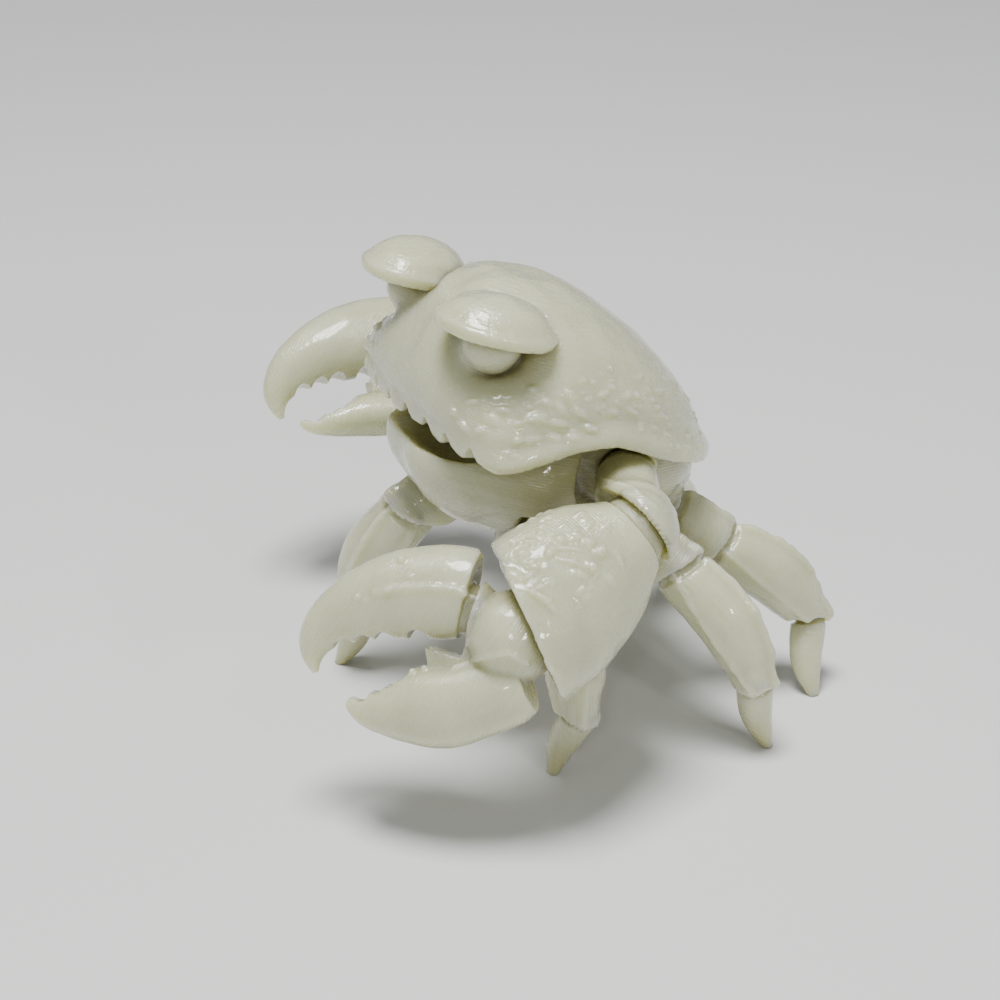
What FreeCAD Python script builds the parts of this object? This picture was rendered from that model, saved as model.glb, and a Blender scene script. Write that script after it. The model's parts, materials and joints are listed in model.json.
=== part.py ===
import FreeCAD, Part
import math, os

# Crab figurine of printed plastic, in millimetres, put together with snap-in ball joints.
# It faces -Y and its left side is +X. The origin is on the floor at the middle of what it covers.

# Fits of the joints
BALL_FIT = 0.08
SHELL_GAP = 0.22
RIM_WALL = 0.45
SEAT_SHARE = 0.37
RELIEF_ANGLE = {"hip": 46, "knee": 46, "ankle": 44, "shoulder": 46, "elbow": 46, "wrist": 46, "pincer": 46}
POST_ANGLE = 26.0
POST_DOME_SHARE = 0.40
POST_ROOT = 0.4
TRIM_SHARE = 1.5
SEAM_STEP = 37.0
SEAM_TRIES = 9
DOME_SEAM = {"hip": 9, "knee": 9, "ankle": 11, "shoulder": 9, "elbow": 9, "wrist": 9, "pincer": 9}
SOCKET_SEAM = {"hip": 0, "knee": 0, "ankle": 2, "shoulder": 0, "elbow": 0, "wrist": 0, "pincer": 0}
CUT_OVERRUN = 4.0

# Body: its middle, its tilt nose up, and the reach of the upper shell from that middle
BODY_X = 5.72
BODY_Y = 3.73
BODY_Z = 31.0
BODY_TILT = 16.0
SHELL_FRONT = 20.3
SHELL_REAR = 15.6
SHELL_HALF_W = 15.8
SHELL_H = 16.5

# Upper shell levels: height, front, rear and half width as shares, and how square its corners are
SHELL_LEVEL_SHARES = (
    (-0.30, 0.80, 0.98, 0.93, 0.90),
    (0.00, 0.88, 1.00, 0.98, 0.91),
    (0.22, 0.99, 0.91, 1.00, 0.87),
    (0.48, 0.97, 0.65, 0.91, 0.80),
    (0.72, 0.89, 0.31, 0.75, 0.76),
    (0.90, 0.77, -0.07, 0.49, 0.74),
    (0.97, 0.67, -0.26, 0.31, 0.72),
    (1.00, 0.56, -0.42, 0.12, 0.71),
)
# Side view of the shell's lower edge: places along the body and heights
EDGE_SHARES = (
    (-1.15, -0.03), (-0.86, -0.02), (-0.76, 0.01), (-0.60, 0.10), (-0.42, 0.20), (-0.18, 0.255),
    (0.07, 0.20), (0.34, 0.15), (0.68, 0.10), (0.95, 0.05), (1.20, -0.01),
)

# Teeth along the shell's front edge
TOOTH_COUNT = 6
TOOTH_PITCH = 3.9
TOOTH_H = 1.8
MOUTH_HALF_W = 9.6
MOUTH_DEPTH = 5.2
MOUTH_HALF_H = 2.3
LIP_WALL = 1.9

# Lower body: reach below and above the shell's edge
UNDER_H = 11.0
UNDER_FRONT = 18.0
UNDER_REAR = 15.6
UNDER_HALF_W = 12.0
UNDER_LEVEL_SHARES = (
    (0.40, 0.72, 0.78, 0.88, 0.72),
    (0.00, 0.94, 0.98, 0.97, 0.76),
    (-0.24, 1.00, 1.00, 1.00, 0.76),
    (-0.48, 0.94, 0.90, 0.93, 0.75),
    (-0.73, 0.79, 0.67, 0.76, 0.73),
    (-0.91, 0.58, 0.42, 0.48, 0.71),
    (-1.00, 0.39, 0.17, 0.21, 0.71),
)

# Eyes: place on the shell as shares of its half width, front reach and height
EYE_SHARES = (0.55, -0.81, 0.71)
EYE_R = 3.5
ORBIT_HALF_L = 5.6
ORBIT_HALF_W = 4.6
ORBIT_H = 5.8
ORBIT_SHIFT = 2.4
LID_HALF_L = 5.7
LID_HALF_W = 4.7
LID_H = 3.6
LID_BASE = 0.9
LID_TURN = 22.0

# Places of the joints on the body, as shares of the lower body's half width, front reach and height
SHOULDER_SHARES = (1.05, 0.035, 0.01)
HIP_SHARES = {"front": (0.62, -0.31, -0.82), "middle": (0.84, 0.30, -0.70), "rear": (0.50, 0.80, -0.60)}

# Domes and balls of the joints
DOME_R = {"hip": 2.65, "knee": 2.65, "ankle": 1.5, "shoulder": 2.8, "elbow": 3.7, "wrist": 4.6, "pincer": 2.5}
BALL_R = {"hip": 1.35, "knee": 1.35, "ankle": 0.8, "shoulder": 1.45, "elbow": 1.9, "wrist": 1.7, "pincer": 1.2}

# Legs
COXA_L = 6.7
COXA_HALF_W = 3.3
COXA_HALF_H = 3.5
THIGH_L = 14.4
THIGH_HALF_W = 3.1
THIGH_HALF_H = 3.3
THIGH_ARCH = 1.5
TOE_L = 8.0
TOE_HALF_W = 1.75
TOE_HALF_H = 1.95
TOE_ARCH = 0.7
FLOOR_CUT = 1.2
COXA_STATION_SHARES = ((-0.1, 0.92, 0.87), (0.35, 1.0, 1.0), (0.65, 0.98, 0.98), (1.0, 0.90, 0.87))
THIGH_STATION_SHARES = (
    (-0.1, 0.97, 0.92), (0.18, 1.02, 0.98), (0.40, 1.0, 1.02), (0.62, 0.93, 0.96), (0.82, 0.78, 0.80), (0.97, 0.57, 0.56),
)
TOE_STATION_SHARES = (
    (-0.1, 1.04, 0.94), (0.25, 1.0, 1.0), (0.5, 0.88, 0.92), (0.75, 0.64, 0.68), (0.92, 0.42, 0.44), (1.06, 0.34, 0.34),
)
# Headings of coxa, thigh and toe: degrees rearward from straight out, then degrees up
LEG_POSES = {
    "front_left": ((31, -29), (-27, -66), (213,)),
    "middle_left": ((43, -27), (36, -53), (90,)),
    "rear_left": ((67, -38), (68, -43), (-19,)),
    "front_right": ((-78, -30), (-46, -65), (-28,)),
    "middle_right": ((43, -27), (36, -53), (90,)),
    "rear_right": ((65, -38), (64, -43), (20,)),
}

# Arms
ARM_L = 9.0
ARM_ROOT_R = 3.2
ARM_CUFF_R = 4.1
ARM_STATION_SHARES = ((0.0, 0.0), (0.35, 0.25), (0.70, 0.80), (1.0, 0.85))
PALM_L = 15.4
PALM_HALF_H = 8.3
PALM_HALF_W = 6.1
PALM_STATION_SHARES = (
    (0.00, 0.51, 0.69), (0.12, 0.65, 0.74), (0.26, 0.80, 0.78), (0.40, 0.89, 0.88), (0.60, 0.97, 0.97),
    (0.76, 1.0, 1.0), (0.95, 1.0, 1.0), (1.15, 0.97, 0.96), (1.30, 0.92, 0.90),
)
# Headings of upper arm, palm and hand, the hand's lean outward, and how far the finger is closed
ARM_POSES = {
    "left": ((-28, -13), (-84, -27), (-124, -13), -25, 0),
    "right": ((50, -28), (-19, -7), (-83, 0), 35, 8),
}

# Claws: fingers as stations of place along and above the wrist, half height and half width
FINGER_L = 20.4
FINGER_HALF_H = 4.6
FINGER_HALF_W = 3.7
UPPER_STATION_SHARES = (
    (0.09, 0.80, 0.70, 0.84), (0.16, 1.02, 0.93, 0.94), (0.31, 1.14, 0.99, 1.0), (0.47, 1.21, 0.95, 0.98),
    (0.63, 1.16, 0.84, 0.88), (0.775, 1.02, 0.69, 0.72), (0.89, 0.78, 0.53, 0.56), (0.96, 0.47, 0.37, 0.40),
    (0.985, 0.13, 0.20, 0.24), (0.98, -0.15, 0.07, 0.09),
)
LOWER_STATION_SHARES = (
    (-0.03, -0.37, 0.63, 0.82), (0.06, -0.30, 0.78, 0.96), (0.19, -0.32, 0.84, 1.0), (0.33, -0.36, 0.88, 1.0),
    (0.475, -0.33, 0.86, 0.94), (0.61, -0.48, 0.67, 0.80), (0.715, -0.62, 0.48, 0.62), (0.80, -0.71, 0.28, 0.38),
    (0.85, -0.75, 0.09, 0.13),
)
LOWER_SLIM_SHARES = {"left": 1.0, "right": 0.62}
PINCER_SHARES = (0.20, 0.72)
PINCER_LEAN = 25.0
PINCER_CLOSE = 8.0
PINCER_OPEN = 14.0
WEB_HALF_W = 1.2
WEB_SHARES = ((0.02, -0.60), (0.02, 0.30), (0.30, 0.30), (0.42, 0.10), (0.42, -0.60))
BITE_R = 1.0
UPPER_BITE_SHARES = ((0.82, 0.29), (0.715, 0.31), (0.615, 0.30), (0.45, 0.25))
LOWER_BITE_SHARES = ((0.565, -0.33), (0.625, -0.44), (0.69, -0.53), (0.77, -0.66))

# Outline of a limb's section, going round from its ridge
SECTION_SHARES = (
    (0.0, 1.0), (0.60, 0.80), (0.97, 0.18), (0.80, -0.62), (0.0, -1.0), (-0.80, -0.62), (-0.97, 0.18), (-0.60, 0.80),
)
# One half of the body's plan outline, from front to rear: the brow and corner follow the corner's own share
BROW_SHARES = (0.6, -0.96)
CORNER_SHARE = -0.93
SIDE_SHARES = ((0.99, -0.42), (1.00, -0.02), (0.90, 0.42), (0.66, 0.76), (0.34, 0.95))

UP = FreeCAD.Vector(0, 0, 1)
OUT = FreeCAD.Vector(1, 0, 0)


def unit(vector):
    return vector / vector.Length


def heading(side, yaw, pitch):
    """Direction on one side of the body, from degrees rearward and degrees up."""
    yaw, pitch = math.radians(yaw), math.radians(pitch)
    level = math.cos(pitch)
    return FreeCAD.Vector(side * math.cos(yaw) * level, math.sin(yaw) * level, math.sin(pitch))


def square_to(vector, axis):
    return unit(vector - axis * vector.dot(axis))


def closed_spline(points):
    curve = Part.BSplineCurve()
    curve.interpolate(points, PeriodicFlag=True)
    return Part.Wire(curve.toShape())


def loft(wires):
    solid = Part.makeLoft(wires, True, False)
    return solid if solid.Volume > 0 else solid.reversed()


def section(centre, along, up, half_w, half_h):
    """Ridged outline of a limb, square to its run."""
    rise = square_to(up, along)
    across = along.cross(rise)
    return closed_spline([centre + across * (x * half_w) + rise * (z * half_h) for x, z in SECTION_SHARES])


def limb(stations, up):
    """Solid through stations of centre, half width and half height."""
    wires = []
    for index, (centre, half_w, half_h) in enumerate(stations):
        before = stations[max(index - 1, 0)][0]
        after = stations[min(index + 1, len(stations) - 1)][0]
        wires.append(section(centre, unit(after - before), up, half_w, half_h))
    return loft(wires)


def ellipsoid(half_x, half_y, half_z):
    scale = FreeCAD.Matrix()
    scale.scale(half_x, half_y, half_z)
    return Part.makeSphere(1.0).transformGeometry(scale)


def beyond(centre, direction, radius, length):
    """Round block in front of a plane, for trimming."""
    return Part.makeCylinder(radius, length, centre, direction)


def boss_r(kind):
    return DOME_R[kind] + SHELL_GAP + RIM_WALL


def post_reach(kind):
    return DOME_R[kind] + SHELL_GAP + POST_ROOT


def turned(ball_r, angle, end_r, reach):
    """Ball on a flaring stem that runs down from it, turned about the upright axis."""
    angle = math.radians(angle)
    top, side = FreeCAD.Vector(0, 0, ball_r), FreeCAD.Vector(ball_r, 0, 0)
    neck = FreeCAD.Vector(ball_r * math.sin(angle), 0, -ball_r * math.cos(angle))
    foot, heel = FreeCAD.Vector(end_r, 0, -reach), FreeCAD.Vector(0, 0, -reach)
    edges = [Part.Arc(top, side, neck).toShape()] + Part.makePolygon([neck, foot, heel, top]).Edges
    return Part.Face(Part.Wire(edges)).revolve(FreeCAD.Vector(), UP, 360)


def seated(solid, centre, direction, index):
    """Copy of a turned solid at a joint, with its seam at one of several places round the axis."""
    placed = solid.copy()
    seam = FreeCAD.Rotation(UP, index * SEAM_STEP)
    placed.Placement = FreeCAD.Placement(centre, FreeCAD.Rotation(UP, direction) * seam)
    return placed


def add_post(piece, kind, centre, direction):
    """Join a post and ball, with the seam where the two solids merge cleanly."""
    tool = turned(BALL_R[kind], POST_ANGLE, POST_DOME_SHARE * DOME_R[kind], post_reach(kind))
    for index in range(SEAM_TRIES):
        joined = piece.fuse(seated(tool, centre, direction, index))
        gain = joined.Volume - piece.Volume
        if joined.isValid() and len(joined.Solids) == 1 and 0 < gain < tool.Volume:
            break
    return joined


def add_socket(piece, kind, centre, direction):
    """Add a domed end with a socket and its relief, with the seams where the cut takes cleanly."""
    reach, ball_r = post_reach(kind), BALL_R[kind] + BALL_FIT
    dome = Part.makeSphere(DOME_R[kind])
    tool = turned(ball_r, RELIEF_ANGLE[kind], reach * math.tan(math.radians(RELIEF_ANGLE[kind])), reach)
    for index in range(SEAM_TRIES):
        domed = piece.fuse(seated(dome, centre, direction, DOME_SEAM[kind] + index))
        hollow = domed.cut(seated(tool, centre, direction, SOCKET_SEAM[kind] + 2 * index))
        loss = domed.Volume - hollow.Volume
        if hollow.isValid() and len(hollow.Solids) == 1 and Part.makeSphere(ball_r).Volume < loss < tool.Volume:
            break
    return hollow


def jointed(piece, hangs_on, carries):
    """Give a piece sockets over the balls that it hangs on, and dishes and balls for the pieces it carries."""
    for joint in hangs_on:
        piece = add_socket(piece, *joint)
    for kind, centre, direction in carries:
        piece = piece.fuse(Part.makeSphere(boss_r(kind), centre, direction))
    for kind, centre, direction in carries:
        plane = centre - direction * (SEAT_SHARE * DOME_R[kind])
        piece = piece.cut(beyond(plane, direction, TRIM_SHARE * boss_r(kind), CUT_OVERRUN + boss_r(kind)))
        piece = piece.cut(Part.makeSphere(DOME_R[kind] + SHELL_GAP, centre, direction))
    for joint in carries:
        piece = add_post(piece, *joint)
    return piece


def body_place():
    return FreeCAD.Placement(FreeCAD.Vector(BODY_X, BODY_Y, BODY_Z), FreeCAD.Rotation(OUT, -BODY_TILT))


def on_body(point):
    return body_place().multVec(point)


def plan_outline(front, rear, half_w, height, corner):
    """Closed outline of the body seen from above, broad at the front and round behind."""
    middle, half_l = (rear - front) / 2, (rear + front) / 2
    brow_x, brow_y = BROW_SHARES
    right = [(corner * brow_x, brow_y), (corner, corner * CORNER_SHARE)] + list(SIDE_SHARES)
    shares = [(0, -1.0)] + right + [(0, 1.0)] + [(-x, y) for x, y in reversed(right)]
    return closed_spline([FreeCAD.Vector(x * half_w, middle + y * half_l, height) for x, y in shares])


def hull(levels, front, rear, half_w, height):
    wires = []
    for up_share, front_share, rear_share, side_share, corner_share in levels:
        wires.append(plan_outline(front * front_share, rear * rear_share, half_w * side_share,
                                  height * up_share, corner_share))
    return loft(wires)


def ellipsoid_at(centre, half_x, half_y, half_z, turn):
    blob = ellipsoid(half_x, half_y, half_z)
    blob.Placement = FreeCAD.Placement(centre, FreeCAD.Rotation(UP, turn))
    return blob


def below_edge():
    """Block under the arched lower edge of the upper shell."""
    points = []
    for along, up_share in EDGE_SHARES:
        reach = SHELL_FRONT if along < 0 else SHELL_REAR
        points.append(FreeCAD.Vector(-SHELL_HALF_W - CUT_OVERRUN, along * reach, up_share * SHELL_H))
    curve = Part.BSplineCurve()
    curve.interpolate(points)
    floor = -SHELL_H
    first, last = points[0], points[-1]
    corners = [last, FreeCAD.Vector(last.x, last.y, floor), FreeCAD.Vector(first.x, first.y, floor), first]
    wire = Part.Wire([curve.toShape()] + Part.makePolygon(corners).Edges)
    return Part.Face(wire).extrude(OUT * (2 * (SHELL_HALF_W + CUT_OVERRUN)))


def tooth_notches():
    """Three-sided bars that leave teeth along the front edge."""
    bars = []
    base = -CUT_OVERRUN
    for index in range(TOOTH_COUNT + 1):
        x = (index - TOOTH_COUNT / 2) * TOOTH_PITCH
        half = TOOTH_PITCH / 2 * (1 + CUT_OVERRUN / TOOTH_H)
        corners = [FreeCAD.Vector(x - half, 0, base), FreeCAD.Vector(x + half, 0, base),
                   FreeCAD.Vector(x, 0, TOOTH_H)]
        bar = Part.Face(Part.makePolygon(corners + corners[:1]))
        bar.translate(FreeCAD.Vector(0, -SHELL_FRONT - CUT_OVERRUN, 0))
        bars.append(bar.extrude(FreeCAD.Vector(0, CUT_OVERRUN + LIP_WALL * 2 + (SHELL_FRONT - UNDER_FRONT), 0)))
    return bars


def mouth(extra):
    """Hollow behind the toothed lip and above the lower jaw."""
    centre = FreeCAD.Vector(0, -UNDER_FRONT + MOUTH_DEPTH / 2 + extra, 0)
    return ellipsoid_at(centre, MOUTH_HALF_W, MOUTH_DEPTH, MOUTH_HALF_H, 0)


def eye_centre(side):
    x, y, z = EYE_SHARES
    return FreeCAD.Vector(side * x * SHELL_HALF_W, y * SHELL_FRONT, z * SHELL_H)


def eyelid(side):
    centre = eye_centre(side) + UP * LID_BASE
    blob = ellipsoid_at(centre, LID_HALF_W, LID_HALF_L, LID_H, -side * LID_TURN)
    return blob.cut(beyond(centre, -UP, LID_HALF_L * 2, LID_H * 2))


def orbit(side):
    """Hollow under the lid, open to the outside."""
    turn = FreeCAD.Rotation(UP, -side * LID_TURN)
    centre = eye_centre(side) + UP * LID_BASE + turn.multVec(OUT * (side * ORBIT_SHIFT))
    blob = ellipsoid_at(centre, ORBIT_HALF_W, ORBIT_HALF_L, ORBIT_H, -side * LID_TURN)
    return blob.cut(beyond(centre, UP, ORBIT_HALF_L * 2, ORBIT_H * 2))


def joint_place(shares, side):
    """Place of a joint on the lower body."""
    x, y, z = shares
    reach = UNDER_FRONT if y < 0 else UNDER_REAR
    return on_body(FreeCAD.Vector(side * x * UNDER_HALF_W, y * reach, z * UNDER_H))


def leg_chain(name):
    """Centres and headings of one leg's joints, down to its tip on the floor."""
    pair, hand = name.split("_")
    side = 1 if hand == "left" else -1
    coxa_aim, thigh_aim, toe_aim = LEG_POSES[name]
    hip = joint_place(HIP_SHARES[pair], side)
    coxa = heading(side, *coxa_aim)
    knee = hip + coxa * COXA_L
    thigh = heading(side, *thigh_aim)
    ankle = knee + thigh * THIGH_L
    toe = heading(side, toe_aim[0], -math.degrees(math.asin(ankle.z / TOE_L)))
    return {"hip": (hip, coxa), "knee": (knee, thigh), "ankle": (ankle, toe), "tip": ankle + toe * TOE_L}


def straight_limb(start, end, up, half_w, half_h, arch, shares):
    run, rise = end - start, square_to(up, unit(end - start))
    stations = []
    for along, w_share, h_share in shares:
        lift = rise * (arch * math.sin(math.pi * min(max(along, 0), 1)))
        stations.append((start + run * along + lift, half_w * w_share, half_h * h_share))
    return limb(stations, rise).cut(beyond(start, -run, run.Length, run.Length))


def make_coxa(chain):
    (hip, coxa), (knee, thigh) = chain["hip"], chain["knee"]
    solid = straight_limb(hip, knee, UP, COXA_HALF_W, COXA_HALF_H, 0, COXA_STATION_SHARES)
    solid = solid.cut(beyond(knee + coxa * DOME_R["knee"], coxa, COXA_L, COXA_L))
    return jointed(solid, [("hip", hip, coxa)], [("knee", knee, thigh)])


def make_thigh(chain):
    (knee, thigh), (ankle, toe) = chain["knee"], chain["ankle"]
    solid = straight_limb(knee, ankle, UP, THIGH_HALF_W, THIGH_HALF_H, THIGH_ARCH, THIGH_STATION_SHARES)
    return jointed(solid, [("knee", knee, thigh)], [("ankle", ankle, toe)])


def make_toe(chain):
    (ankle, toe), (_, thigh) = chain["ankle"], chain["knee"]
    outward = square_to(-toe.cross(thigh.cross(toe)), toe)
    solid = straight_limb(ankle, chain["tip"], outward, TOE_HALF_W, TOE_HALF_H, TOE_ARCH, TOE_STATION_SHARES)
    solid = jointed(solid, [("ankle", ankle, toe)], [])
    return solid.cut(beyond(FreeCAD.Vector(chain["tip"].x, chain["tip"].y, 0), -UP, TOE_L, FLOOR_CUT))


def arm_chain(hand):
    """Centres and headings of one arm's joints, and the hand's up and across directions."""
    side = 1 if hand == "left" else -1
    arm_aim, palm_aim, hand_aim, lean, closed = ARM_POSES[hand]
    shoulder = joint_place(SHOULDER_SHARES, side)
    arm, palm, reach = heading(side, *arm_aim), heading(side, *palm_aim), heading(side, *hand_aim)
    elbow = shoulder + arm * ARM_L
    wrist = elbow + palm * PALM_L
    rise = square_to(UP, reach)
    outward = rise.cross(reach) * side
    lean = math.radians(lean)
    rise = rise * math.cos(lean) + outward * math.sin(lean)
    return {"shoulder": (shoulder, arm), "elbow": (elbow, palm), "wrist": (wrist, unit(palm + reach)),
            "reach": reach, "rise": rise, "across": rise.cross(reach), "closed": closed}


def on_hand(chain, along, above):
    return chain["wrist"][0] + chain["reach"] * (along * FINGER_L) + chain["rise"] * (above * FINGER_HALF_H)


def pincer(chain):
    """Centre and heading of the upper finger's joint."""
    lean = math.radians(PINCER_LEAN)
    return on_hand(chain, *PINCER_SHARES), chain["reach"] * math.cos(lean) + chain["rise"] * math.sin(lean)


def make_upper_arm(chain):
    (shoulder, arm), (elbow, palm) = chain["shoulder"], chain["elbow"]
    stations = []
    for along, flare in ARM_STATION_SHARES:
        size = ARM_ROOT_R + (ARM_CUFF_R - ARM_ROOT_R) * flare
        stations.append((shoulder + arm * (ARM_L * along), size, size))
    solid = limb(stations, UP)
    return jointed(solid, [("shoulder", shoulder, arm)], [("elbow", elbow, palm)])


def palm_face(chain):
    """Point on the flat front of the palm, behind the wrist's middle."""
    wrist, face = chain["wrist"]
    return wrist - face * (SEAT_SHARE * DOME_R["wrist"])


def make_palm(chain):
    (elbow, palm), (wrist, face) = chain["elbow"], chain["wrist"]
    rise = square_to(chain["rise"], palm)
    stations = []
    for along, h_share, w_share in PALM_STATION_SHARES:
        stations.append((elbow + palm * (PALM_L * along), PALM_HALF_W * w_share, PALM_HALF_H * h_share))
    solid = limb(stations, rise)
    solid = solid.cut(beyond(palm_face(chain), face, PALM_HALF_H * 2, PALM_L))
    return jointed(solid, [("elbow", elbow, palm)], [("wrist", wrist, face)])


def bites(chain, places, solid):
    """Cut rounded notches across a finger, which leave teeth between them."""
    across = chain["across"]
    for along, above in places:
        start = on_hand(chain, along, above) - across * (FINGER_HALF_W + CUT_OVERRUN)
        solid = solid.cut(Part.makeCylinder(BITE_R, 2 * (FINGER_HALF_W + CUT_OVERRUN), start, across))
    return solid


def web(chain):
    """Thin plate in the crook between the fingers, relieved where the upper finger closes."""
    corners = [on_hand(chain, *place) - chain["across"] * WEB_HALF_W for place in WEB_SHARES]
    plate = Part.Face(Part.makePolygon(corners + corners[:1])).extrude(chain["across"] * (2 * WEB_HALF_W))
    for degrees in (-PINCER_OPEN, 0, PINCER_CLOSE / 2, PINCER_CLOSE):
        plate = plate.cut(turn_finger(finger_limb(chain), chain, chain["closed"] + degrees))
    return plate


def make_hand(chain, slim):
    (wrist, face), (centre, lift) = chain["wrist"], pincer(chain)
    stations = []
    for along, top, h_share, w_share in LOWER_STATION_SHARES:
        half_h = FINGER_HALF_H * h_share * slim
        middle = on_hand(chain, along, top) - chain["rise"] * half_h
        stations.append((middle, FINGER_HALF_W * w_share, half_h))
    solid = bites(chain, LOWER_BITE_SHARES, limb(stations, -chain["rise"])).fuse(web(chain))
    solid = solid.cut(beyond(wrist, -face, FINGER_L, FINGER_L))
    return jointed(solid, [("wrist", wrist, face)], [("pincer", centre, lift)])


def turn_finger(solid, chain, degrees):
    """Finger closed further about its joint."""
    turned = solid.copy()
    turned.rotate(pincer(chain)[0], chain["across"], degrees)
    return turned


def finger_limb(chain):
    stations = []
    for along, above, h_share, w_share in UPPER_STATION_SHARES:
        stations.append((on_hand(chain, along, above), FINGER_HALF_W * w_share, FINGER_HALF_H * h_share))
    return limb(stations, chain["rise"])


def make_finger(chain):
    (wrist, face), (centre, lift) = chain["wrist"], pincer(chain)
    solid = bites(chain, UPPER_BITE_SHARES, finger_limb(chain))
    solid = turn_finger(solid.cut(beyond(centre, -lift, FINGER_L, FINGER_L)), chain, chain["closed"])
    knuckle = Part.makeSphere(DOME_R["wrist"] + SHELL_GAP, wrist)
    palm = beyond(palm_face(chain) + face * SHELL_GAP, -face, PALM_HALF_H * 2, PALM_L)
    for degrees in (0, PINCER_OPEN / 2, PINCER_OPEN):
        solid = solid.cut(turn_finger(knuckle, chain, degrees)).cut(turn_finger(palm, chain, degrees))
    return jointed(solid, [("pincer", centre, lift)], [])


def make_head():
    """Upper shell, lids and eyes, each cut to seat the next."""
    shell = hull(SHELL_LEVEL_SHARES, SHELL_FRONT, SHELL_REAR, SHELL_HALF_W, SHELL_H)
    shell = shell.cut(below_edge()).cut(mouth(LIP_WALL))
    for bar in tooth_notches():
        shell = shell.cut(bar)
    pieces = {}
    for hand, side in (("left", 1), ("right", -1)):
        centre, lid = eye_centre(side), eyelid(side)
        eye = Part.makeSphere(EYE_R, centre)
        shell = shell.cut(lid).cut(orbit(side)).cut(eye)
        pieces["eyelid_" + hand] = lid.cut(eye)
        pieces["eyeball_" + hand] = eye
    pieces["carapace"] = shell
    return pieces


def make_underbody(chains):
    solid = hull(UNDER_LEVEL_SHARES, UNDER_FRONT, UNDER_REAR, UNDER_HALF_W, UNDER_H)
    solid = solid.cut(mouth(0))
    solid.Placement = body_place()
    return jointed(solid, [], chains)


def main():
    pieces = make_head()
    sockets = []
    for name in LEG_POSES:
        chain = leg_chain(name)
        sockets.append(("hip",) + chain["hip"])
        pieces["coxa_" + name] = make_coxa(chain)
        pieces["thigh_" + name] = make_thigh(chain)
        pieces["toe_" + name] = make_toe(chain)
    for hand in ARM_POSES:
        chain = arm_chain(hand)
        sockets.append(("shoulder",) + chain["shoulder"])
        pieces["upper_arm_" + hand] = make_upper_arm(chain)
        pieces["palm_" + hand] = make_palm(chain)
        pieces["claw_lower_" + hand] = make_hand(chain, LOWER_SLIM_SHARES[hand])
        pieces["claw_upper_" + hand] = make_finger(chain)
    for name in ("carapace", "eyelid_left", "eyelid_right", "eyeball_left", "eyeball_right"):
        pieces[name].Placement = body_place()
    pieces["underbody"] = make_underbody(sockets)
    pieces["carapace"] = pieces["carapace"].cut(pieces["underbody"])
    os.makedirs("parts", exist_ok=True)
    for name, shape in sorted(pieces.items()):
        print(name, "solids", len(shape.Solids), "volume", round(shape.Volume, 1), "valid", shape.isValid())
        shape.exportStep("parts/" + name + ".step")


main()
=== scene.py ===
import json
import math
import random
from collections import namedtuple

import bmesh
import bpy
import numpy as np
from mathutils import Matrix, Vector, noise
from mathutils.bvhtree import BVHTree


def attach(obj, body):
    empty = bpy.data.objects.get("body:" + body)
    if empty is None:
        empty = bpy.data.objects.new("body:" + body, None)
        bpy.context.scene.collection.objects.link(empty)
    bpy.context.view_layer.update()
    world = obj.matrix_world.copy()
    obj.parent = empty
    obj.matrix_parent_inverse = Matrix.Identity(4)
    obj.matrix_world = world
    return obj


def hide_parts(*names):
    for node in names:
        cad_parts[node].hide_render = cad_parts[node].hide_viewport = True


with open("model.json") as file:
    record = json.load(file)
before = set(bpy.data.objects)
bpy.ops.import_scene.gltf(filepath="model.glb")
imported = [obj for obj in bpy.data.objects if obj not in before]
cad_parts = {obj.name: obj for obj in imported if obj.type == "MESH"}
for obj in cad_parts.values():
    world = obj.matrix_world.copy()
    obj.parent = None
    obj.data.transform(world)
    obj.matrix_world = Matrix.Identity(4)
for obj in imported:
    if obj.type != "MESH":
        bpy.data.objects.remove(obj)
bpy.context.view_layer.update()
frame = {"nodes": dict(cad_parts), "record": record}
JOINTS = {row["name"]: Vector(row["pos_m"]) for row in frame["record"]["behaviour"]["joints"]}

MM = 0.001

# The camera looks down on the crab's left front corner, in the row frame
BACK = Vector((0.787, -0.418, 0.454)).normalized()
RIGHT = Vector((0, 0, 1)).cross(BACK).normalized()
UP = BACK.cross(RIGHT)
DISTANCE = 0.264
SHIFT_LEFT = 0.01708
SHIFT_UP = 0.07833
FOCAL = 2400.0
FRAME = 1000.0
SENSOR = 36
AIM = Vector((5.72, 1.73, 0)) * MM
EYE = AIM + (BACK - RIGHT * SHIFT_LEFT + UP * SHIFT_UP) * DISTANCE

# The body's own axes: tilted nose up about its middle
BODY_MIDDLE = Vector((5.72, 3.73, 31)) * MM
BODY_TILT = math.radians(-16)
TO_BODY = Matrix.Rotation(BODY_TILT, 4, "X").inverted() @ Matrix.Translation(-BODY_MIDDLE)
FROM_BODY = TO_BODY.inverted()
TURN_TO_BODY = TO_BODY.to_3x3()
TURN_FROM_BODY = TURN_TO_BODY.inverted()
BODY_UP = tuple(TURN_FROM_BODY @ Vector((0, 0, 1)))

# The shell's lower edge, as in the solids: shares of its length and of its height
SHELL_H = 16.5 * MM
SHELL_FRONT = 20.3 * MM
SHELL_REAR = 15.6 * MM
EDGE_SHARES = (
    (-1.15, -0.03), (-0.86, -0.02), (-0.76, 0.01), (-0.60, 0.10), (-0.42, 0.20), (-0.18, 0.255),
    (0.07, 0.20), (0.34, 0.15), (0.68, 0.10), (0.95, 0.05), (1.20, -0.01),
)

# Rolled band and groove along that edge: height above it, width and depth in mm
EDGE_BAND = (1.0, 0.8, 0.30)
EDGE_GROOVE = (2.9, 0.9, 0.22)

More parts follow.
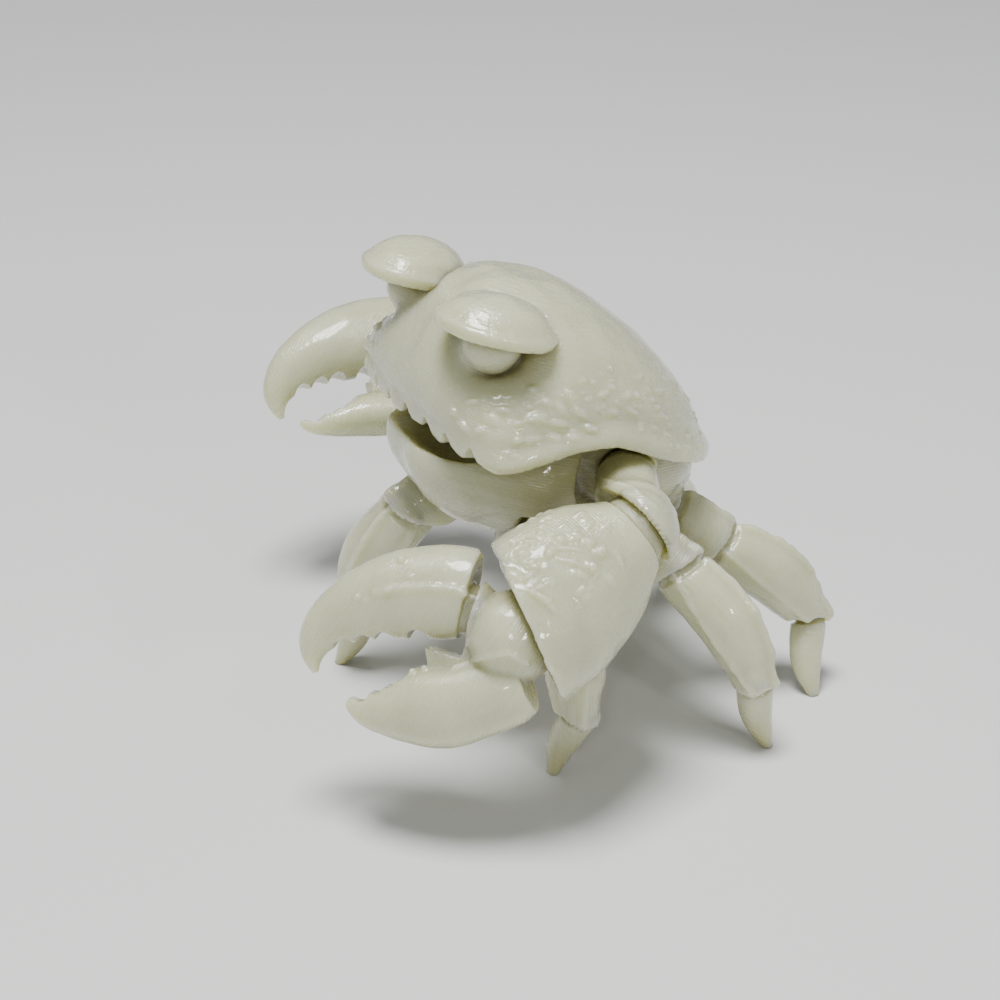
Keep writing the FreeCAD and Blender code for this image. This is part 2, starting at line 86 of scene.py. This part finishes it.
# Eyes, in the body's axes
EYE_CENTRE = (8.69 * MM, -16.44 * MM, 11.7 * MM)
EYE_R = 3.5 * MM
EYE_REACH = 6.1 * MM
EYE_OUT = (0.56, -0.54, 0.62)
EYE_SINK = 0.5 * MM
EYE_SCALE = 0.92
ORBIT_FILL = 0.9
ORBIT_FADE = 0.6 * MM
MELT_REACH = EYE_REACH + 2.5 * MM
MELT_FADE = 1.5 * MM
MELT_RATE = 0.6
MELT_TIMES = 220
LID_SWELL = 0.30 * MM
LID_RIM = (0.7, 0.45, 0.35)

# Rolled rim of each kind of joint: radius, height and depth of the groove behind it, in mm
RIMS = {
    "hip": (3.9, 0.20, 0.10), "knee": (3.4, 0.16, 0.12), "ankle": (2.2, 0.20, 0.10),
    "elbow": (4.6, 0.60, 0.12), "wrist": (6.4, 0.12, 0.20),
}
RIM_W = 0.7 * MM
GROOVE_STEP = 1.6 * MM
GROOVE_W = 0.6 * MM

# Ridges along the legs: turn about the leg in degrees, and height in mm
COXA_CRESTS = ((0, 0.40),)
THIGH_CRESTS = ((0, 0.55), (75, 0.35), (-75, 0.35))
CREST_W = 0.40 * MM
CREST_FADE = 1.5 * MM

# Raised ovals: height share, sharpness of their sides, and the reach of one in mm
OVAL_SHARE = 1.1
OVAL_POWER = 1.6
OVAL_REACH = 4 * MM
OVAL_DEPTH = 2 * MM

# Scattered ovals: half lengths, half widths and heights in mm
SCATTER_SIZES = ((0.30, 0.55), (0.18, 0.28), (0.12, 0.20))
FLANK_COUNT = 70
FLANK_SEED = 7
FLANK_HEIGHTS = (1.4 * MM, 7 * MM)
FLANK_MIDDLE = -2 * MM
FLANK_HALF = 14 * MM
FLANK_INNER = 6 * MM
FLANK_RUN = (0, 1, 0.2)
PALM_COUNT = 55
PALM_SEED = 17
PALM_PATCH = (-7.9 * MM, 2.4 * MM, -5.8 * MM)
PALM_PATCH_R = 5.5 * MM
PALM_FACING = 0.2

# Unevenness: fields per metre, and the share of the finer one
WAVE_SCALE = 420
RIPPLE_SCALE = 1500
RIPPLE_SHARE = 0.35
RIPPLE_SEED = 9

# Voxel in mm, smoothing passes, layer pitch in mm, layer depth, waviness in mm, seed, sparkle
Kind = namedtuple("Kind", "voxel smooth pitch depth wave seed sparkle")
KINDS = {
    "carapace": Kind(0.14, 8, 0.29, 0.5, 0.09, 3, 1.6),
    "underbody": Kind(0.25, 4, 0.29, 1.0, 0.08, 5, 1.0),
    "eyelid": Kind(0.20, 6, 0.30, 0.5, 0.12, 11, 1.3),
    "coxa": Kind(0.25, 4, 0.29, 0.8, 0.05, 21, 1.0),
    "thigh": Kind(0.25, 4, 0.30, 0.8, 0.07, 23, 1.0),
    "toe": Kind(0.20, 3, 0.30, 0.8, 0.04, 25, 1.0),
    "upper_arm": Kind(0.25, 4, 0.29, 0.6, 0.05, 31, 1.0),
    "palm": Kind(0.18, 6, 0.30, 0.6, 0.09, 33, 1.5),
    "claw_lower": Kind(0.16, 4, 0.28, 1.0, 0.06, 35, 1.0),
    "claw_upper": Kind(0.16, 4, 0.28, 1.0, 0.06, 37, 1.0),
}

# Plastic
PALE_LOW = (0.505, 0.515, 0.345)
PALE_HIGH = (0.615, 0.625, 0.45)
# Painted shade: a dark olive colour blended into the base colour where ambient occlusion finds
# creases, hollows and gaps between parts
CREVICE_PAINTED_SHADE = (0.32, 0.30, 0.125)
PAINTED_SHADE_AO_REACH = 9 * MM
PAINTED_SHADE_AO_RANGE = (0.10, 0.92)
GLOW_RADIUS = (1.0, 0.98, 0.55)
GLOW_SCALE = 5.0 * MM
ROUGHNESS = (0.08, 0.30)

# Raised lines along pixels of the photograph
PALM_RIDGES = (
    ((487, 553), (500, 581), (520, 626), (545, 662), (561, 679)),
    ((612, 493), (629, 498), (640, 508), (649, 524)),
)
ARM_RIDGES = (((604, 480), (631, 487), (657, 508)),)
UPPER_RIDGES = (((375, 592), (400, 588), (430, 587), (455, 589), (478, 600)),)
LOWER_RIDGES = (((455, 667), (490, 656), (508, 653), (529, 664)),)

# Their heights and widths in mm
PALM_RIDGE = (0.22, 0.30)
ARM_RIDGE = (0.22, 0.25)
UPPER_RIDGE = (0.32, 0.35)
LOWER_RIDGE = (0.30, 0.35)

# Ovals under pixels of the photograph: x, y, half length, half width, height in mm, turn in degrees
SHELL_OVALS = (
    (532, 389, 0.45, 0.40, 0.28, 0), (548, 402.5, 0.60, 0.45, 0.30, -15),
    (529.5, 406.5, 0.45, 0.30, 0.25, 0), (472.5, 401.5, 0.80, 0.32, 0.28, -5),
    (502.5, 410, 1.00, 0.32, 0.30, -5), (493, 419, 1.20, 0.60, 0.35, -25),
    (517, 423, 0.70, 0.35, 0.28, 10), (538, 417.5, 0.95, 0.50, 0.32, 8),
    (518, 441, 0.60, 0.35, 0.28, 0), (534, 439, 1.10, 0.38, 0.30, 0),
    (556, 438, 0.70, 0.50, 0.30, -10), (573.5, 437.5, 0.80, 0.45, 0.28, 0),
    (562, 409, 0.90, 0.50, 0.30, -40), (580, 413, 1.10, 0.45, 0.30, -25),
    (560, 423.5, 1.10, 0.40, 0.28, -12), (603, 394, 0.60, 0.32, 0.25, 20),
    (612.5, 387, 0.60, 0.30, 0.22, 0), (627.5, 395, 0.70, 0.30, 0.24, 25),
    (614, 412, 0.80, 0.35, 0.25, 0), (633, 412, 0.80, 0.32, 0.24, -15),
    (594, 382, 0.35, 0.30, 0.22, 0), (610, 368.5, 0.35, 0.30, 0.25, 0),
    (547, 317, 0.35, 0.30, 0.18, 0), (641, 375.5, 0.50, 0.22, 0.18, 45),
    (463, 425, 0.80, 0.32, 0.28, -35), (479.5, 429.5, 0.50, 0.35, 0.28, 0),
    (453, 411, 0.60, 0.30, 0.24, -40), (655, 428, 0.60, 0.30, 0.20, 0),
    (590, 428, 0.90, 0.35, 0.24, -10), (573, 399, 1.00, 0.60, 0.24, -45),
)
PALM_OVALS = (
    (540.5, 533.5, 0.40, 0.30, 0.25, 60), (529, 542, 0.50, 0.25, 0.25, -10),
    (514, 544, 0.40, 0.22, 0.25, 80), (522, 553, 0.60, 0.30, 0.25, 0),
    (506.5, 556.5, 0.50, 0.25, 0.25, 80), (560.5, 539.5, 0.55, 0.50, 0.28, 0),
    (575, 534.5, 0.60, 0.25, 0.25, -10), (590, 541, 0.60, 0.45, 0.25, 10),
    (551, 551, 0.70, 0.40, 0.28, 60), (570.5, 549, 1.20, 0.22, 0.25, 0),
    (570.5, 561, 1.20, 0.22, 0.25, -5), (600, 552, 0.70, 0.55, 0.28, 20),
    (593, 567, 0.80, 0.50, 0.28, -30), (514, 575, 0.80, 0.45, 0.28, -30),
    (610, 579, 0.80, 0.50, 0.25, -30), (541, 597, 1.30, 0.28, 0.30, -25),
    (547, 604, 1.30, 0.28, 0.30, -40), (567.5, 500.5, 0.35, 0.30, 0.90, 90),
    (620, 560, 0.80, 0.30, 0.22, -60), (534, 567, 0.60, 0.35, 0.25, 0),
    (580, 575, 0.90, 0.45, 0.24, -15),
)
UPPER_OVALS = (
    (402, 560, 0.35, 0.35, 0.45, 0), (410, 577, 0.30, 0.30, 0.18, 0),
    (387, 590, 0.35, 0.25, 0.16, 0), (357, 597, 0.40, 0.30, 0.18, 30),
    (365, 600, 0.35, 0.30, 0.16, 0),
)
LOWER_OVALS = (
    (366, 694, 0.32, 0.28, 0.40, 0), (377, 688, 0.32, 0.28, 0.45, 0),
    (389, 683, 0.35, 0.30, 0.50, 0), (401, 678, 0.35, 0.30, 0.50, 0),
    (413, 673, 0.35, 0.30, 0.45, 0), (425, 669, 0.32, 0.28, 0.40, 0),
)


def sight(x, y):
    """Direction from the camera through a pixel of the photograph."""
    return (-BACK * FOCAL + RIGHT * (x - FRAME / 2) - UP * (y - FRAME / 2)).normalized()


def hit(tree, x, y):
    """Point and normal of a surface under a pixel."""
    point, normal, _, _ = tree.ray_cast(EYE, sight(x, y))
    return point, normal


def joint_place(word, place):
    """Centre of a joint, by its kind and its limb."""
    return JOINTS[word + "_" + place]


# Finish

def value_map(nodes, links, source, low, high, start, end):
    mapped = nodes.new("ShaderNodeMapRange")
    mapped.inputs["From Min"].default_value = low
    mapped.inputs["From Max"].default_value = high
    mapped.inputs["To Min"].default_value = start
    mapped.inputs["To Max"].default_value = end
    links.new(source, mapped.inputs["Value"])
    return mapped.outputs["Result"]


def colour_mix(nodes, links, factor, first, second):
    mix = nodes.new("ShaderNodeMix")
    mix.data_type = "RGBA"
    sockets = [socket for socket in mix.inputs if socket.type == "RGBA"]
    links.new(factor, mix.inputs[0])
    for socket, colour in zip(sockets, (first, second)):
        if isinstance(colour, tuple):
            socket.default_value = (*colour, 1)
        else:
            links.new(colour, socket)
    return next(socket for socket in mix.outputs if socket.type == "RGBA")


def noise_value(nodes, links, place, scale, detail=2.0, rough=0.5):
    texture = nodes.new("ShaderNodeTexNoise")
    texture.inputs["Scale"].default_value = scale
    texture.inputs["Detail"].default_value = detail
    texture.inputs["Roughness"].default_value = rough
    links.new(place, texture.inputs["Vector"])
    return texture.outputs["Fac"]


def bump(nodes, links, height, distance, strength, before=None):
    node = nodes.new("ShaderNodeBump")
    node.inputs["Distance"].default_value = distance
    node.inputs["Strength"].default_value = strength
    links.new(height, node.inputs["Height"])
    if before is not None:
        links.new(before, node.inputs["Normal"])
    return node.outputs["Normal"]


def layer_lines(nodes, links, place, layers, pitch):
    """Bands square to a direction, a layer apart."""
    turn = nodes.new("ShaderNodeMapping")
    turn.vector_type = "TEXTURE"
    turn.inputs["Rotation"].default_value = Vector(layers).to_track_quat("Z", "Y").to_euler()
    links.new(place, turn.inputs["Vector"])
    lines = nodes.new("ShaderNodeTexWave")
    lines.bands_direction = "Z"
    lines.inputs["Scale"].default_value = 2 * math.pi / (20 * pitch)
    lines.inputs["Distortion"].default_value = 1.4
    lines.inputs["Detail"].default_value = 1.0
    lines.inputs["Detail Scale"].default_value = 0.35
    links.new(turn.outputs["Vector"], lines.inputs["Vector"])
    return lines.outputs["Fac"]


def printed(name, layers, kind):
    """Translucent printed plastic, with layer lines square to a direction, and painted shade where
    ambient occlusion finds creases.
    """
    material = bpy.data.materials.new(name)
    material.use_nodes = True
    nodes, links = material.node_tree.nodes, material.node_tree.links
    shader = nodes["Principled BSDF"]
    place = nodes.new("ShaderNodeTexCoord").outputs["Object"]
    lines = layer_lines(nodes, links, place, layers, kind.pitch * MM)
    cloud = noise_value(nodes, links, place, 260, 3.0)
    grain = noise_value(nodes, links, place, 2900, 3.0)

    # Painted shade: ambient occlusion blends the dark olive colour into creases and hollows, standing
    # in for shade
    painted_shade_ao = nodes.new("ShaderNodeAmbientOcclusion")
    painted_shade_ao.inputs["Distance"].default_value = PAINTED_SHADE_AO_REACH
    painted_shade_ao.samples = 8
    unshaded_share = value_map(nodes, links, painted_shade_ao.outputs["AO"], *PAINTED_SHADE_AO_RANGE, 0.0, 1.0)
    pale = colour_mix(nodes, links, cloud, PALE_LOW, PALE_HIGH)
    links.new(colour_mix(nodes, links, unshaded_share, CREVICE_PAINTED_SHADE, pale), shader.inputs["Base Color"])

    wobble = bump(nodes, links, cloud, 0.5 * MM, 0.35)
    layered = bump(nodes, links, lines, 0.05 * MM * kind.depth, 0.7, wobble)
    grained = bump(nodes, links, grain, 0.14 * MM * kind.sparkle, 0.6, layered)
    links.new(grained, shader.inputs["Normal"])
    links.new(value_map(nodes, links, grain, 0.3, 0.7, *ROUGHNESS), shader.inputs["Roughness"])
    shader.inputs["Subsurface Weight"].default_value = 1.0
    shader.inputs["Subsurface Radius"].default_value = GLOW_RADIUS
    shader.inputs["Subsurface Scale"].default_value = GLOW_SCALE
    shader.inputs["IOR"].default_value = 1.47
    shader.inputs["Specular IOR Level"].default_value = 0.6
    shader.inputs["Coat Weight"].default_value = 0.6
    shader.inputs["Coat Roughness"].default_value = 0.08
    return material


# Shapes

def remeshed(node, kind, with_meshes=()):
    """Evenly meshed copy of a CAD node, with the crisp edges softened as a print's are."""
    shape = bmesh.new()
    for source in (frame["nodes"][node].data, *with_meshes):
        shape.from_mesh(source)
    joined = bpy.data.meshes.new(node + "_print")
    shape.to_mesh(joined)
    shape.free()
    piece = bpy.data.objects.new(node + "_print", joined)
    bpy.context.collection.objects.link(piece)
    remesh = piece.modifiers.new("even", "REMESH")
    remesh.mode = "VOXEL"
    remesh.voxel_size = kind.voxel * MM
    soften = piece.modifiers.new("soften", "SMOOTH")
    soften.factor = 0.5
    soften.iterations = kind.smooth
    graph = bpy.context.evaluated_depsgraph_get()
    mesh = bpy.data.meshes.new_from_object(piece.evaluated_get(graph))
    piece.modifiers.clear()
    piece.data = mesh
    mesh.shade_smooth()
    return piece


def arrays(piece):
    """A piece's points and normals, a row each."""
    mesh = piece.data
    points = np.empty(len(mesh.vertices) * 3)
    normals = np.empty(len(mesh.vertices) * 3)
    mesh.vertices.foreach_get("co", points)
    mesh.vertices.foreach_get("normal", normals)
    return points.reshape(-1, 3), normals.reshape(-1, 3)


def place_points(piece, points):
    piece.data.vertices.foreach_set("co", points.ravel())
    piece.data.update()


def push(piece, heights):
    """Move each vertex along its normal."""
    points, normals = arrays(piece)
    place_points(piece, points + normals * heights[:, None])


def bell(distance, width):
    return np.exp(-(distance / width) ** 2)


def band(distance, middle, width, height):
    """Height of a soft band, all in mm but the distance."""
    return height * MM * bell(distance - middle * MM, width * MM)


def melt(piece, centres):
    """Smooth a mesh over and over near some places, so that creases there flow together."""
    mesh = piece.data
    points, _ = arrays(piece)
    edges = np.empty(len(mesh.edges) * 2, dtype=np.int64)
    mesh.edges.foreach_get("vertices", edges)
    share = np.zeros(len(points))
    for centre in centres:
        away = np.linalg.norm(points - np.array(centre), axis=1)
        share = np.maximum(share, np.clip((MELT_REACH - away) / MELT_FADE, 0, 1))
    pairs = edges.reshape(-1, 2)
    pairs = pairs[(share[pairs] > 0).any(axis=1)]
    first, second = np.concatenate((pairs, pairs[:, ::-1])).T
    count = np.maximum(np.bincount(first, minlength=len(points)), 1)
    for _ in range(MELT_TIMES):
        for axis in range(3):
            mean = np.bincount(first, weights=points[second, axis], minlength=len(points)) / count
            points[:, axis] += MELT_RATE * share * (mean - points[:, axis])
    place_points(piece, points)


def wander(points, scale, seed):
    """Smooth random field, the same each run."""
    shift = Vector((seed * 3.1, seed * 1.7, seed * 2.3))
    return np.array([noise.noise(Vector(p) * scale + shift) for p in points])


def in_body(points):
    return points @ np.array(TURN_TO_BODY).T + np.array(TO_BODY.translation)


def edge_height(along):
    """Height of the shell's lower edge at a place along the body."""
    y = [share * (SHELL_FRONT if share < 0 else SHELL_REAR) for share, _ in EDGE_SHARES]
    return np.interp(along, y, [share * SHELL_H for _, share in EDGE_SHARES])


def roll_rims(piece, word, centres):
    """Rolled rim round each joint, with a groove behind it."""
    radius, height, groove = (size * MM for size in RIMS[word])
    points, normals = arrays(piece)
    total = np.zeros(len(points))
    for centre in centres:
        offset = points - np.array(centre)
        away = np.linalg.norm(offset, axis=1)
        outward = np.clip((offset * normals).sum(axis=1) / away + 0.3, 0, 1)
        total += height * bell(away - radius, RIM_W) * outward
        total -= groove * bell(away - radius - GROOVE_STEP, GROOVE_W)
    push(piece, total)


def other_side(place):
    """The same place on the body's other side."""
    local = TO_BODY @ place
    local.x = -local.x
    return FROM_BODY @ local


def other_way(direction):
    """The same direction on the body's other side."""
    local = TURN_TO_BODY @ direction
    local.x = -local.x
    return TURN_FROM_BODY @ local


def raise_ovals(piece, rows):
    """Small crisp ovals on a piece: place, normal, long direction, half length, half width, height."""
    points, _ = arrays(piece)
    total = np.zeros(len(points))
    for spot, normal, run, half_l, half_w, height in rows:
        normal = Vector(normal).normalized()
        run = (Vector(run) - normal * normal.dot(Vector(run))).normalized()
        offset = points - np.array(spot)
        near = np.nonzero(np.abs(offset).max(axis=1) < OVAL_REACH)[0]
        u, v, w = (offset[near] @ np.array(line) for line in (run, normal.cross(run), normal))
        oval = (u / (half_l * MM)) ** 2 + (v / (half_w * MM)) ** 2
        total[near] += height * MM * np.exp(-oval ** OVAL_POWER) * bell(w, OVAL_DEPTH)
    push(piece, total)


def ovals(piece, spots, both_sides=False):
    """Ovals under pixels of the photograph."""
    tree = BVHTree.FromObject(piece, bpy.context.evaluated_depsgraph_get())
    rows = []
    for x, y, half_l, half_w, height, turn in spots:
        spot, normal = hit(tree, x, y)
        if spot is None:
            continue
        angle = math.radians(turn)
        run = RIGHT * math.cos(angle) + UP * math.sin(angle)
        size = (half_l, half_w, OVAL_SHARE * height)
        rows.append((spot, normal, run, *size))
        if both_sides:
            rows.append((other_side(spot), other_way(normal), other_way(run), *size))
    raise_ovals(piece, rows)


def scatter(piece, inside, run, count, seed):
    """Many small ovals over the part of a piece that a mask keeps."""
    points, normals = arrays(piece)
    draw = random.Random(seed)
    kept = np.nonzero(inside)[0]
    rows = []
    for _ in range(count):
        index = kept[draw.randrange(len(kept))]
        size = [draw.uniform(low, high) for low, high in SCATTER_SIZES]
        rows.append((points[index], normals[index], run, *size))
    raise_ovals(piece, rows)


def ridges(piece, paths, size):
    """Raised lines on a piece, along paths of pixels of the photograph."""
    height, width = size
    tree = BVHTree.FromObject(piece, bpy.context.evaluated_depsgraph_get())
    points, _ = arrays(piece)
    total = np.zeros(len(points))
    for path in paths:
        places = []
        for (ax, ay), (bx, by) in zip(path, path[1:]):
            steps = max(2, round(math.hypot(bx - ax, by - ay) / 2))
            for i in range(steps):
                places.append(hit(tree, ax + (bx - ax) * i / steps, ay + (by - ay) * i / steps)[0])
        near = np.full(len(points), 1.0)
        for place in places:
            if place is not None:
                near = np.minimum(near, np.linalg.norm(points - np.array(place), axis=1))
        total += band(near, 0, width, height)
    push(piece, total * (1 + 0.5 * wander(points, 900, 4)))


def crests(piece, start, end, rows):
    """Sharper ridges along a limb, each turned about it from its top by some degrees."""
    run = (end - start).normalized()
    rise = Vector((0, 0, 1)) - run * run.z
    if rise.length < 0.5:
        rise = Vector((0, -1, 0)) - run * -run.y
    for turn, height in rows:
        points, _ = arrays(piece)
        top = Matrix.Rotation(math.radians(turn), 3, run) @ rise.normalized()
        offset = points - np.array(start)
        lateral, above = offset @ np.array(run.cross(top)), offset @ np.array(top)
        share = np.clip(above / CREST_FADE, 0, 1) * (1 + 0.6 * wander(points, 700, 6))
        push(piece, height * MM * bell(lateral, CREST_W) * share)


def fill_orbits(piece):
    """Draw the hollow round each eye in towards the eye, as shallow as the print's."""
    points, normals = arrays(piece)
    local = in_body(points)
    turned = normals @ np.array(TURN_TO_BODY).T
    for side in (1, -1):
        away = local - np.array(EYE_CENTRE) * (side, 1, 1)
        distance = np.linalg.norm(away, axis=1)
        toward = -(away * turned).sum(axis=1) / np.maximum(distance, 1e-6)
        share = np.clip((EYE_REACH - distance) / ORBIT_FADE, 0, 1) * np.clip(toward * 2, 0, 1)
        local -= away * (share * ORBIT_FILL * (1 - EYE_R / np.maximum(distance, EYE_R)))[:, None]
    place_points(piece, local @ np.array(FROM_BODY.to_3x3()).T + np.array(FROM_BODY.translation))


def finished(piece, nodes, kind, layers):
    """Give a piece its hand-made unevenness and finish, and put it in place of its CAD nodes."""
    points, _ = arrays(piece)
    slow = wander(points, WAVE_SCALE, kind.seed) * kind.wave
    fast = wander(points, RIPPLE_SCALE, kind.seed + RIPPLE_SEED) * kind.wave * RIPPLE_SHARE
    push(piece, (slow + fast) * MM)
    piece.data.materials.append(printed(piece.name, layers, kind))
    bodies = frame["record"]["behaviour"]["bodies"]
    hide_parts(*nodes)
    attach(piece, next(name for name, held in bodies.items() if nodes[0] in held))


# Pieces

def eye_place(side):
    return FROM_BODY @ Vector((side * EYE_CENTRE[0], *EYE_CENTRE[1:]))


def sunk_eye(side):
    """Mesh of an eyeball, a little smaller and set deeper than its CAD solid."""
    mesh = frame["nodes"]["eyeball_left" if side > 0 else "eyeball_right"].data.copy()
    out = TURN_FROM_BODY @ Vector((side * EYE_OUT[0], *EYE_OUT[1:]))
    centre = eye_place(side)
    sink = Matrix.Translation(centre - out * EYE_SINK)
    mesh.transform(sink @ Matrix.Scale(EYE_SCALE, 4) @ Matrix.Translation(-centre))
    return mesh


def make_carapace():
    kind = KINDS["carapace"]
    piece = remeshed("carapace", kind, with_meshes=[sunk_eye(1), sunk_eye(-1)])
    fill_orbits(piece)
    melt(piece, [eye_place(1), eye_place(-1)])
    points, normals = arrays(piece)
    local = in_body(points)
    above = local[:, 2] - edge_height(local[:, 1])
    outer = (normals @ np.array(TURN_TO_BODY).T * local).sum(axis=1) > 0
    push(piece, band(above, *EDGE_BAND) - band(above, *EDGE_GROOVE))
    ovals(piece, SHELL_OVALS, both_sides=True)
    low, high = FLANK_HEIGHTS
    flank = outer & (above > low) & (above < high) & (np.abs(local[:, 1] - FLANK_MIDDLE) < FLANK_HALF)
    for side in (1, -1):
        inside = flank & (local[:, 0] * side > FLANK_INNER)
        scatter(piece, inside, TURN_FROM_BODY @ Vector(FLANK_RUN), FLANK_COUNT, FLANK_SEED)
    finished(piece, ("carapace", "eyeball_left", "eyeball_right"), kind, BODY_UP)


def make_underbody():
    kind = KINDS["underbody"]
    piece = remeshed("underbody", kind)
    roll_rims(piece, "hip", [place for name, place in JOINTS.items() if name.startswith("hip")])
    finished(piece, ("underbody",), kind, BODY_UP)


def make_lid(hand):
    kind, node = KINDS["eyelid"], "eyelid_" + hand
    lid = remeshed(node, kind)
    points, _ = arrays(lid)
    height = in_body(points)[:, 2]
    push(lid, LID_SWELL + band(height - height.min(), *LID_RIM))
    finished(lid, (node,), kind, BODY_UP)


def make_leg(name):
    hip, knee, ankle = (joint_place(word, name) for word in ("hip", "knee", "ankle"))
    side = (ankle - knee).cross(Vector((0, 0, 1))).normalized()
    coxa = remeshed("coxa_" + name, KINDS["coxa"])
    roll_rims(coxa, "knee", [knee])
    crests(coxa, hip, knee, COXA_CRESTS)
    finished(coxa, ("coxa_" + name,), KINDS["coxa"], (knee - hip).normalized())
    thigh = remeshed("thigh_" + name, KINDS["thigh"])
    roll_rims(thigh, "ankle", [ankle])
    crests(thigh, knee, ankle, THIGH_CRESTS)
    finished(thigh, ("thigh_" + name,), KINDS["thigh"], side)
    toe = remeshed("toe_" + name, KINDS["toe"])
    finished(toe, ("toe_" + name,), KINDS["toe"], side)


def scatter_palm(palm, hand, elbow, wrist, pincer):
    """Ovals on the outer side of a palm, mirrored on the right hand."""
    along = (wrist - elbow).normalized()
    turned = pincer - wrist
    upward = (turned - along * turned.dot(along)).normalized()
    across = along.cross(upward) * (1 if hand == "left" else -1)
    patch = wrist + along * PALM_PATCH[0] + upward * PALM_PATCH[1] + across * PALM_PATCH[2]
    out = (patch - (wrist + elbow) / 2).normalized()
    points, normals = arrays(palm)
    near = np.linalg.norm(points - np.array(patch), axis=1) < PALM_PATCH_R
    scatter(palm, near & (normals @ np.array(out) > PALM_FACING), along, PALM_COUNT, PALM_SEED)


def make_arm(hand):
    words = ("shoulder", "elbow", "wrist", "pincer")
    shoulder, elbow, wrist, pincer = (joint_place(word, hand) for word in words)
    pieces = {}
    for word in ("upper_arm", "palm", "claw_lower", "claw_upper"):
        pieces[word] = remeshed(word + "_" + hand, KINDS[word])
    arm, palm, lower, upper = pieces.values()
    roll_rims(arm, "elbow", [elbow])
    roll_rims(palm, "wrist", [wrist])
    scatter_palm(palm, hand, elbow, wrist, pincer)
    if hand == "left":
        ovals(palm, PALM_OVALS)
        ridges(palm, PALM_RIDGES, PALM_RIDGE)
        ridges(arm, ARM_RIDGES, ARM_RIDGE)
        ridges(lower, LOWER_RIDGES, LOWER_RIDGE)
        ovals(lower, LOWER_OVALS)
        ridges(upper, UPPER_RIDGES, UPPER_RIDGE)
        ovals(upper, UPPER_OVALS)
    finger = (pincer - wrist).normalized()
    layers = ((elbow - shoulder).normalized(), (wrist - elbow).normalized(), finger, finger)
    for (word, piece), direction in zip(pieces.items(), layers):
        finished(piece, (word + "_" + hand,), KINDS[word], direction)


# Room

# Lamps: name, place and size in m, power in W, all turned to one place
LIT = Vector((0, 0, 0.02))
LIGHTS = (
    ("overhead", (0.05, -0.07, 0.55), 0.20, 4.5),
    ("window", (0.50, 0.03, 0.26), 0.05, 0.45),
    ("front", (0.36, -0.24, 0.28), 0.04, 0.22),
)


def make_floor():
    mesh = bpy.data.meshes.new("floor")
    shape = bmesh.new()
    bmesh.ops.create_grid(shape, x_segments=1, y_segments=1, size=3.0)
    shape.to_mesh(mesh)
    floor = bpy.data.objects.new("floor", mesh)
    bpy.context.collection.objects.link(floor)
    material = bpy.data.materials.new("floor")
    material.use_nodes = True
    shader = material.node_tree.nodes["Principled BSDF"]
    shader.inputs["Base Color"].default_value = (0.74, 0.74, 0.73, 1)
    shader.inputs["Roughness"].default_value = 0.6
    mesh.materials.append(material)


def make_light(name, place, size, power):
    light = bpy.data.lights.new(name, "AREA")
    light.shape = "DISK"
    light.size = size
    light.energy = power
    lamp = bpy.data.objects.new(name, light)
    lamp.location = place
    lamp.rotation_euler = (Vector(place) - LIT).to_track_quat("Z", "Y").to_euler()
    bpy.context.collection.objects.link(lamp)


def make_camera():
    camera = bpy.data.cameras.new("camera")
    camera.sensor_width = SENSOR
    camera.lens = SENSOR * FOCAL / FRAME
    camera.clip_start = 0.01
    holder = bpy.data.objects.new("camera", camera)
    holder.matrix_world = Matrix.Translation(EYE) @ Matrix((RIGHT, UP, BACK)).transposed().to_4x4()
    bpy.context.collection.objects.link(holder)
    bpy.context.scene.camera = holder


def make_world():
    world = bpy.data.worlds.new("room")
    world.use_nodes = True
    background = world.node_tree.nodes["Background"]
    background.inputs["Color"].default_value = (0.80, 0.82, 0.84, 1)
    background.inputs["Strength"].default_value = 0.30
    bpy.context.scene.world = world


make_carapace()
make_underbody()
for hand in ("left", "right"):
    make_lid(hand)
    make_arm(hand)
    for pair in ("front", "middle", "rear"):
        make_leg(pair + "_" + hand)

make_floor()
make_camera()
make_world()
for row in LIGHTS:
    make_light(*row)
